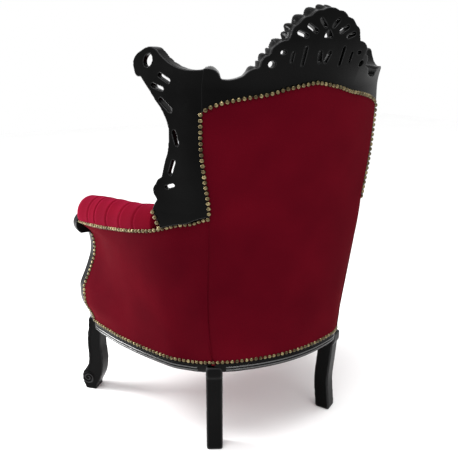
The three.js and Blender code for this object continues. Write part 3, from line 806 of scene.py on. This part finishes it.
def makeApron():
    # height of the lower edge from the middle outwards
    edge = heightCurve([(-30, 210), (0, 206), (36, 214), (62, 240), (112, 262), (170, 258), (236, 252),
                        (310, 261), (350, 252), (390, 238)])
    right = [(x, float(edge(x))) for x in np.linspace(0, apron["half"], 90)]
    lower = [(-x, z) for x, z in reversed(right[1:])] + right
    outline = lower + [(apron["half"], apron["top"]), (-apron["half"], apron["top"])]
    piece = plate(outline, 0, apron["thick"] - 6)
    sanded(piece, apron["grain"], 4)
    spots = spotsOf(piece)
    x, z, depth = spots.T
    front = smooth(0.5, 0, depth / apron["thick"])
    above = z - edge(abs(x))
    # a bead along the shaped edge and one under the seat
    carved = apron["edgeBead"] * np.exp(-((above - 5) / 3.5) ** 2)
    carved += apron["topBead"] * np.exp(-((z - 319) / 4) ** 2)
    # fan shell in the middle
    down = apron["shellHigh"] - z
    reach, turn = np.hypot(x, down), np.arctan2(x, down)
    shell = smooth(-6, 4, down + 2) * (1 - smooth(apron["shell"] + 28, apron["shell"] + 34, reach))
    shell = shell * (1 - smooth(44, 56, abs(x)))
    rays = abs(np.cos(apron["rays"] * turn)) * smooth(6, 24, reach)
    carved += shell * (3 + 4 * rays + 4 * np.exp(-(reach / 9) ** 2))
    # a leaf scroll on each side, its stem winding between the two beads
    stem = apron["stemHigh"] + 9 * np.sin((abs(x) - 60) / 36)
    leafy = smooth(58, 76, abs(x)) * (1 - smooth(340, 372, abs(x)))
    carved += leafy * apron["stem"] * np.exp(-((z - stem) / 5.5) ** 2)
    leaves = smooth(0.1, 0.6, np.cos((abs(x) - 60) / 12 + (z - stem) / 9))
    carved += leafy * apron["leaves"] * leaves * np.exp(-((abs(z - stem) - 12) / 6) ** 2)
    depth = depth - carved * front
    bow = apron["bow"] * np.cos(math.pi * x / 2 / apron["half"]) ** 2
    setDown(piece, np.column_stack([x, apron["y"] + 4 - bow + depth, z]))
    finished(piece, "frontRail", lacquer, nodes=["front_rail"])


makeApron()
print("apron carved")


stile = {"x": 433, "z": 633, "radius": 38, "band": 52, "back": -216.4, "thick": 31.6, "grain": 2.0,
         "spiral": 2.6, "eye": 5, "edgeBead": 3.4, "leaf": 3}


def makeStiles():
    low = frontLeg["top"] + 0.4
    heights = np.linspace(low, 602, 60)
    outer = [(float(sideSurface(sideRun(-232), z)[..., 0]), z) for z in heights]
    turns = np.linspace(-0.3 * math.pi, 1.28 * math.pi, 60)
    radius = stile["radius"]
    scroll = [(stile["x"] + radius * math.cos(t), stile["z"] + radius * math.sin(t)) for t in turns]
    inner = [(x - stile["band"], z) for x, z in outer if z < 590][::-1]
    piece = plate(outer + scroll + inner, 0, stile["thick"])
    sanded(piece, stile["grain"], 5)
    spots = spotsOf(piece)
    x, z, depth = spots.T
    front = smooth(0.5, 1, depth / stile["thick"])
    reach = np.hypot(x - stile["x"], z - stile["z"])
    coil = np.arctan2(z - stile["z"], x - stile["x"])
    inScroll = smooth(45, 39, reach)
    spiral = stile["spiral"] * np.cos(2 * math.pi * reach / 13 + coil) * smooth(5, 10, reach)
    spiral = spiral + stile["eye"] * (1 - smooth(6, 10, reach))
    # a bead down each edge, and a leaf between them that widens and narrows
    across = x - np.interp(z, heights, [p[0] for p in outer]) + stile["band"] / 2
    leafHalf = 7 + 4 * np.cos(z / 34)
    leaf = stile["leaf"] * np.exp(-(across / leafHalf) ** 2) * (0.8 + 0.2 * np.cos(z / 5))
    beads = stile["edgeBead"] * np.exp(-((abs(across) - 19) / 3.4) ** 2)
    depth = depth + front * (inScroll * spiral + (1 - inScroll) * (beads + leaf))
    setDown(piece, np.column_stack([x, stile["back"] - depth, z]))
    pair(piece, "armStile", lacquer, nodes=["arm_stile"])


makeStiles()
print("stiles carved")


# proud: how far the cloth stands out, tuck: how far its edge goes in, under: how far it runs below its nails
panel = {"proud": 3, "swell": 3.5, "tuck": 2.2, "sideTuck": 0.7, "sideProud": 1.2, "roll": 7, "thick": 6,
         "under": 3}


# An open sheet, with the place of each spot across and up it from 0 to 1.
def sheetGrid(columns, rows):
    deselect()
    bpy.ops.mesh.primitive_grid_add(x_subdivisions=columns, y_subdivisions=rows, size=1)
    piece = bpy.context.object
    spots = spotsOf(piece)
    return piece, spots[:, 0] + 0.5, spots[:, 1] + 0.5


# Gives an open sheet its thickness on the side away from outward.
def backed(piece, thick, outward):
    facing = sum((face.normal * face.area for face in piece.data.polygons), Vector())
    if facing.dot(Vector(outward)) < 0:
        pickOnly(piece)
        onWholeMesh(bpy.ops.mesh.flip_normals)
    applied(piece, "SOLIDIFY", thickness=thick / 1000, offset=-1, use_rim=True)


def makeBackPanel():
    piece, across, up = sheetGrid(110, 130)
    edge = edgeX(mix(hemLevel, edgeTop, up)) + 2
    x = edge * (2 * across - 1)
    low, high = hemAt(backSurface, x) - panel["under"], openingTop(abs(x)) + panel["under"]
    z = mix(low, high, up)
    fromEdge = np.minimum(np.minimum(edge - abs(x), z - low), high - z)
    rounded = (panel["tuck"] + panel["proud"]) * (1 - np.exp(-fromEdge / panel["roll"]))
    depth = panel["tuck"] - rounded - panel["swell"] * smooth(0, 160, fromEdge)
    setDown(piece, inward(backSurface, x, z, depth))
    backed(piece, panel["thick"], (0, 1, 0))
    finished(piece, "backPanel", outerVelvet, nodes=["outside_back"])


def makeSidePanels():
    piece, along, up = sheetGrid(100, 90)
    end = sideRun(panelFront)
    s = mix(1.2, end, along)
    low, high = hemAt(sideSurface, s) - panel["under"], armTopAt(s) + panel["under"]
    z = mix(low, high, up)
    fromEdge = np.minimum(np.minimum(end - s, z - low), high - z)
    tuck = panel["tuck"] * panel["sideTuck"]
    # it lies flat against the back's edge at the seam
    depth = tuck - (tuck + panel["sideProud"]) * (1 - np.exp(-fromEdge / panel["roll"])) * smooth(0, 7, s)
    spots = inward(sideSurface, s, z, depth)
    spots[:, 1] = np.maximum(spots[:, 1], panelFront)
    setDown(piece, spots)
    backed(piece, panel["thick"], (1, 0, 0))
    pair(piece, "sidePanel", outerVelvet, nodes=["outside_arm"])


makeBackPanel()
makeSidePanels()
print("outside panels stretched")


arm = {"start": 177, "end": -244, "front": -247, "near": 17, "thick": 112, "centreIn": 46, "centreUp": 17,
       "radius": 50, "padDrop": 310, "foot": 368, "lift": 11, "dome": 46, "domeLeast": 0.3, "domeBend": 2.2,
       "underRoll": 83.6, "pleats": (-145, -100, -30, 45, 112), "pleatDeep": 6.0, "pleatFull": 1.5,
       "tuft": 9, "buttonDeep": 13, "pitchS": 92, "pitchZ": 120}


# Diamond buttoning: 0 along the folds, 1 in the middle of a pillow, with the buttons at the crossings.
def tufting(u, v, pitchU, pitchV, full, deep):
    a, b = u / pitchU + v / pitchV, u / pitchU - v / pitchV
    pillow = (abs(np.sin(math.pi * a)) * abs(np.sin(math.pi * b))) ** 0.4
    offA, offB = a - np.rint(a), b - np.rint(b)
    reach = np.hypot((offA + offB) * pitchU / 2, (offA - offB) * pitchV / 2)
    return full * pillow - deep * np.exp(-(reach / 15) ** 2)


# A spot of the arm: rise is measured from its nail line, and the pad below is fitted down to the seat.
def armSpot(s, depth, rise):
    forward = -sideSurface(s, neckTop)[..., 1]
    line = armLine(forward) + 1.6
    lift = np.where(rise > 0, arm["lift"] * smooth(-150, 110, forward) * rise / arm["radius"], 0)
    height = np.where(rise > 0, line + rise + lift, mix(arm["foot"], line, 1 + rise / arm["padDrop"]))
    return inward(sideSurface, s, height, depth)


def makeArms():
    turns = np.linspace(math.pi + 0.33, -0.72, 44)
    section = [(arm["near"], -arm["padDrop"] * (1 - t)) for t in np.linspace(0, 0.94, 7)]
    centreIn, centreUp, radius = arm["centreIn"], arm["centreUp"], arm["radius"]
    section += [(centreIn + radius * math.cos(t), centreUp + radius * math.sin(t)) for t in turns]
    section += [(float(mix(arm["underRoll"], arm["thick"], smooth(-16, -80, rise))), rise)
                for rise in np.linspace(-20, -arm["padDrop"], 52)]
    start, end = sideRun(arm["start"]), sideRun(arm["end"])
    folds = [sideRun(y) for y in arm["pleats"]]

    def place(run, depth, rise):
        s = mix(start, end, run)
        left = end - s
        # the front end is drawn in round the scroll
        bend = arm["domeBend"]
        dome = (1 - (1 - np.minimum(1, left / arm["dome"])) ** bend) ** (1 / bend)
        dome = arm["domeLeast"] + (1 - arm["domeLeast"]) * dome
        # the roll is pleated at its folds
        onRoll = (rise > -17) & (depth < 97)
        ring = np.hypot(depth - centreIn, rise - centreUp)
        fold = sum(np.exp(-((s - f) / 2.2) ** 2) for f in folds)
        swell = -arm["pleatDeep"] * fold + arm["pleatFull"] * sum(np.exp(-((s - f) / 20) ** 2) for f in folds)
        grow = (ring + swell * smooth(-14, 12, rise)) / np.maximum(ring, 1) * dome
        depth = np.where(onRoll, centreIn + (depth - centreIn) * grow, depth)
        rise = np.where(onRoll, centreUp + (rise - centreUp) * grow, rise)
        # and the pad inside is buttoned
        face = smooth(80, 100, depth) * smooth(-30, -60, rise)
        edge = smooth(0, 22, left)
        pad = tufting(s - folds[2], rise + 140, arm["pitchS"], arm["pitchZ"], arm["tuft"], arm["buttonDeep"])
        pad = pad * smooth(-295, -250, rise)
        depth = depth + face * (pad * edge - 14 * (1 - edge))
        return armSpot(s, depth, rise)

    piece = bar(section, 250, place)
    spots = spotsOf(piece)
    spots[:, 1] = np.maximum(spots[:, 1], arm["front"])
    setDown(piece, spots)
    for one in pair(piece, "arm", innerVelvet, nodes=["arm"]):
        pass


makeArms()
print("arms rolled")


inside = {"rear": 36, "thick": 74, "bow": 0.0009, "lean": 0.09, "spread": 1.1, "foot": 369, "widest": 250,
          "top": 1010, "below": 28, "tuft": 17, "buttonDeep": 17, "pitchX": 118, "pitchZ": 150,
          "edgeRoll": 38, "middle": 720, "backing": 14}
buttonSpots = []


def insideEdge(z):
    return np.minimum(edgeX(z) - 34, inside["widest"])


def insideSpot(flat, z, depth):
    y = backMiddle - depth - inside["bow"] * flat * flat + inside["lean"] * (z - leanFrom)
    return np.stack([flat * inside["spread"], y, z + 0 * flat], -1)


def makeInsideBack():
    piece, across, up = sheetGrid(128, 162)
    edge = insideEdge(mix(inside["foot"], inside["top"], up))
    flat = edge * (2 * across - 1)
    high = openingTop(abs(flat)) - inside["below"]
    z = mix(inside["foot"], high, up)
    border = np.minimum(np.minimum(edge - abs(flat), high - z), z - inside["foot"] + 30)
    rounded = inside["edgeRoll"] * np.exp(-border / 16)
    pitchX, pitchZ, middle = inside["pitchX"], inside["pitchZ"], inside["middle"]
    tuft = tufting(flat, z - middle, pitchX, pitchZ, inside["tuft"], inside["buttonDeep"])
    face = inside["rear"] + inside["thick"] - inside["tuft"] * 0.6
    setDown(piece, insideSpot(flat, z, face + tuft * smooth(0, 30, border) - rounded))
    backed(piece, inside["backing"], (0, -1, 0))
    finished(piece, "insideBack", innerVelvet, nodes=["inside_back"])
    for row in range(-6, 7):
        for column in range(-3, 4):
            if (row + column) % 2:
                continue
            x, z = column * pitchX / 2, middle + row * pitchZ / 2
            if abs(x) < float(insideEdge(z)) - 26 and 430 < z < float(openingTop(abs(x))) - 60:
                spot = insideSpot(np.array(float(x)), np.array(z), face - inside["buttonDeep"] * 0.8)
                buttonSpots.append((spot, (0, -1, 0)))


wingPad = {"start": 24, "past": 2, "thick": 92, "edgeRoll": 30, "tuft": 8, "buttonDeep": 10, "fold": 60,
           "pitchS": 104, "pitchZ": 150, "narrowed": 46}


def makeWingPads():
    # height of the pad's top along its run
    top = heightCurve([(0, 790), (24, 798), (70, 806), (110, 798), (140, 768), (170, 700)])
    piece, along, up = sheetGrid(70, 100)
    s = mix(wingPad["start"], sideRun(arm["start"]) + wingPad["past"], along)
    high = top(s)
    z = mix(inside["foot"], high, up)
    border = np.minimum(high - z, z - inside["foot"] + 30)
    pitchS, pitchZ = wingPad["pitchS"], wingPad["pitchZ"]
    along, up = s - wingPad["fold"], z - inside["middle"]
    tuft = tufting(along, up, pitchS, pitchZ, wingPad["tuft"], wingPad["buttonDeep"])
    depth = wingPad["thick"] - wingPad["edgeRoll"] * np.exp(-border / 14) + tuft * smooth(0, 26, border)
    depth = depth - wingPad["narrowed"] * smooth(700, 800, z)
    setDown(piece, inward(sideSurface, s, z, depth))
    backed(piece, inside["backing"], (-1, 0, 0))
    for one in pair(piece, "wingPad", innerVelvet, nodes=["wing_pad"]):
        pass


makeInsideBack()
makeWingPads()
print("inside buttoned")


deck = {"low": 290, "top": 366, "front": -263, "bow": 34, "half": 385, "level": 300.0, "clear": 16,
        "bevel": 8}
# pressure swells the cover, and cap is the most that it may move a spot; cell is the size of its remesh
cushion = {"gap": 2, "top": 474, "rear": 188, "front": -250, "rearHalf": 178, "frontHalf": 316, "bow": 50,
           "cell": 8.0, "pressure": 4.0, "cap": 16, "crown": 12, "pipe": 4.2, "reach": 80}


def cushionOutline(count):
    rear, front, bow = cushion["rear"], cushion["front"], cushion["bow"]
    rearHalf, frontHalf = cushion["rearHalf"], cushion["frontHalf"]
    half = splinePoints([(0, front - bow), (frontHalf * 0.6, front - bow * 0.45), (frontHalf - 24, front + 8),
                         (frontHalf, front + 60), ((frontHalf + rearHalf) / 2 + 24, (front + rear) / 2),
                         (rearHalf, rear - 40), (rearHalf - 50, rear), (0, rear + 22)], count)
    return [tuple(p) for p in half] + [(-x, y) for x, y in half[::-1][1:-1]]


def makeDeck():
    # it fills the frame up to the outside panels
    back, side = np.linspace(0, 192, 12), np.linspace(46, sideRun(panelFront), 30)
    rim = inward(backSurface, back, np.full(len(back), deck["level"]), deck["clear"])
    flank = inward(sideSurface, side, np.full(len(side), deck["level"]), deck["clear"])
    half = [(x, deck["front"] - deck["bow"] * math.cos(x / deck["half"] * math.pi / 2) ** 2)
            for x in np.linspace(0, deck["half"] - 5, 14)]
    half += [(x, y) for x, y, _ in flank[::-1]] + [(x, y) for x, y, _ in rim[::-1]]
    outline = half[:-1] + [(-x, y) for x, y in half[::-1]][:-1]
    piece = plate(outline, deck["low"], deck["top"])
    setDown(piece, spotsOf(piece))
    applied(piece, "BEVEL", width=deck["bevel"] / 1000, segments=3, limit_method="ANGLE")
    finished(piece, "seatDeck", innerVelvet, 40, ["seat_deck"])


# Blows the cover up from inside, with no spot moved further than cap.
def swollen(piece, pressure, cap, frames=20):
    before = spotsOf(piece)
    pickOnly(piece)
    cloth = piece.modifiers.new("cloth", "CLOTH")
    cloth.settings.quality = 6
    cloth.settings.mass = 0.3
    cloth.settings.use_pressure = True
    cloth.settings.uniform_pressure_force = pressure
    cloth.settings.effector_weights.gravity = 0
    cloth.point_cache.frame_start = 1
    cloth.point_cache.frame_end = frames
    for step in range(1, frames + 1):
        bpy.context.scene.frame_set(step)
    bpy.ops.object.modifier_apply(modifier="cloth")
    moved = spotsOf(piece) - before
    far = np.linalg.norm(moved, axis=1, keepdims=True)
    moveSpots(piece, before + moved * np.minimum(1, cap / np.maximum(far, 1e-9)))
    bpy.context.scene.frame_set(1)


def makeCushion():
    low, high = deck["top"] + cushion["gap"], cushion["top"]
    outline = cushionOutline(70)
    piece = plate(outline, low + 6, high - 14)
    setDown(piece, spotsOf(piece))
    applied(piece, "REMESH", mode="VOXEL", voxel_size=cushion["cell"] / 1000, adaptivity=0)
    swollen(piece, cushion["pressure"], cushion["cap"] / 1000)
    # flat where it rests on the deck, and crowned on top
    spots = spotsOf(piece)
    spots[:, 2] = np.maximum(spots[:, 2], (low + 1) / 1000)
    x, y = spots[:, 0] * 1000, spots[:, 1] * 1000 - planShift
    crown = np.clip(1 - (x / 330) ** 2, 0, 1) * np.clip(1 - ((y + 40) / 250) ** 2, 0, 1)
    spots[:, 2] += cushion["crown"] / 1000 * crown * smooth(430, 460, spots[:, 2] * 1000)
    moveSpots(piece, spots)
    applied(piece, "SMOOTH", factor=0.5, iterations=6)
    applied(piece, "SUBSURF", levels=1, render_levels=1)
    finished(piece, "seatCushion", innerVelvet, nodes=["seat_cushion"])

    # piping along the upper and lower seams, laid on the swollen sides
    ring = np.array(outline)
    middle = ring.mean(0)
    for name, level in (("pipingTop", high - 16), ("pipingLow", low + 9)):
        path = []
        for x, y in ring:
            aim = Vector((x - middle[0], y - middle[1], 0)).normalized()
            origin = Vector((x / 1000, (y + planShift) / 1000, level / 1000)) + aim * cushion["reach"] / 1000
            hit, spot, *_ = piece.ray_cast(origin, -aim)
            path.append(np.array(spot) * 1000 if hit else np.array((x, y + planShift, level)))
        path = np.array(path)
        path = (np.roll(path, 1, 0) + path * 2 + np.roll(path, -1, 0)) / 4
        tube(name, path, cushion["pipe"], innerVelvet)


# A closed round cord through a ring of spots, in millimetres of the frame.
def tube(name, path, radius, material):
    count = len(path)
    deselect()
    bpy.ops.mesh.primitive_torus_add(major_segments=count, minor_segments=8, major_radius=1, minor_radius=0.1)
    piece = bpy.context.object
    spots = spotsOf(piece)
    turn = np.arctan2(spots[:, 1], spots[:, 0])
    index = np.rint(turn / (2 * math.pi) * count).astype(int) % count
    ring = np.arctan2(spots[:, 2], np.hypot(spots[:, 0], spots[:, 1]) - 1)
    ahead = np.roll(path, -1, 0) - np.roll(path, 1, 0)
    outward = np.column_stack([ahead[:, 1], -ahead[:, 0], 0 * ahead[:, 0]])
    outward /= np.linalg.norm(outward, axis=1, keepdims=True)
    put = path[index] + outward[index] * (radius * np.cos(ring))[:, None]
    put[:, 2] += radius * np.sin(ring)
    moveSpots(piece, put / 1000)
    facingOut(piece)
    finished(piece, name, material)


makeDeck()
makeCushion()
print("seat filled")


nail = {"pitch": 14.3, "radius": 6.1, "high": 4.8, "hemUp": 5, "rearHalf": 236}
button = {"radius": 10.5, "high": 6}


def domed(radius, high, around, rings):
    deselect()
    bpy.ops.mesh.primitive_uv_sphere_add(segments=around, ring_count=rings, radius=1)
    piece = bpy.context.object
    onWholeMesh(bpy.ops.mesh.bisect, plane_co=(0, 0, 0), plane_no=(0, 0, 1), clear_inner=True, use_fill=True)
    moveSpots(piece, spotsOf(piece) * (radius, radius, high))
    return piece


# Copies of one piece, each stood on a spot with its crown along a normal, in millimetres of the plan.
def studded(first, name, places, material):
    base = spotsOf(first)
    copies = []
    for spot, normal in places:
        copy = first.copy()
        copy.data = first.data.copy()
        bpy.context.collection.objects.link(copy)
        turn = np.array(Vector(normal).to_track_quat("Z", "Y").to_matrix())
        put = base @ turn.T + np.array(spot)
        put[:, 1] += planShift
        moveSpots(copy, put / 1000)
        copies.append(copy)
    pickOnly(*copies)
    bpy.ops.object.join()
    finished(bpy.context.object, name, material, 50)


# Nails at an even pitch along a line of a surface; without ends the row starts half a pitch in.
def nailRow(surface, u, z, depth=-2.0, ends=True):
    u, z = np.broadcast_arrays(np.asarray(u, float), np.asarray(z, float))
    line = inward(surface, u, z, depth)
    outward = np.cross(surface(u, z + 1) - surface(u, z - 1), surface(u + 1, z) - surface(u - 1, z))
    outward *= np.sign((outward * (line - inward(surface, u, z, depth + 5))).sum(1))[:, None]
    outward /= np.linalg.norm(outward, axis=1, keepdims=True)
    run = runLengths(line)
    count = max(1, int(round(run[-1] / nail["pitch"])))
    marks = np.linspace(0, run[-1], count + 1)
    if not ends:
        marks = (marks[1:] + marks[:-1]) / 2
    pick = lambda values: np.column_stack([np.interp(marks, run, values[:, k]) for k in range(3)])
    return list(zip(pick(line), pick(outward)))


def mirrored(places):
    return [((-s[0], s[1], s[2]), (-n[0], n[1], n[2])) for s, n in places]


def nailAll():
    head = domed(nail["radius"], nail["high"], 12, 8)
    up = np.linspace(leanFrom + 4, edgeTop - 3, 80)
    side = nailRow(backSurface, edgeX(up) + 0.5, up)
    x = np.linspace(5 - backEdge, backEdge - 5, 300)
    top = nailRow(backSurface, x, openingTop(abs(x)) + 1, ends=False)
    studded(head, "nailsBack", side + mirrored(side) + top, brass)

    # along the arm and a few up the front of the wing
    s = np.linspace(3, sideRun(panelFront + 2), 200)
    arms = nailRow(sideSurface, s, armTopAt(s))
    t, marks = np.linspace(0, 1, 30), [0, 0.5, 1]
    corner = nailRow(wingSurface, np.interp(t, marks, [126, 134, 143]), np.interp(t, marks, [716, 738, 760]))
    studded(head, "nailsArms", arms + mirrored(arms) + corner + mirrored(corner), brass)

    z = np.linspace(300, 596, 120)
    post = nailRow(sideSurface, sideRun(panelFront + 8), z, -1.5)
    studded(head, "nailsStiles", post + mirrored(post), brass)

    s = np.linspace(6, sideRun(rail["end"]), 200)
    hem = nailRow(sideSurface, s, hemAt(sideSurface, s) + nail["hemUp"], -1)
    x = np.linspace(-nail["rearHalf"], nail["rearHalf"], 200)
    rear = nailRow(backSurface, x, hemAt(backSurface, x) + nail["hemUp"], ends=False)
    studded(head, "nailsHem", hem + mirrored(hem) + rear, brass)
    bpy.data.objects.remove(head)


def buttonAll():
    head = domed(button["radius"], button["high"], 16, 10)
    studded(head, "backButtons", buttonSpots, innerVelvet)
    bpy.data.objects.remove(head)


nailAll()
buttonAll()
print("nails and buttons set")
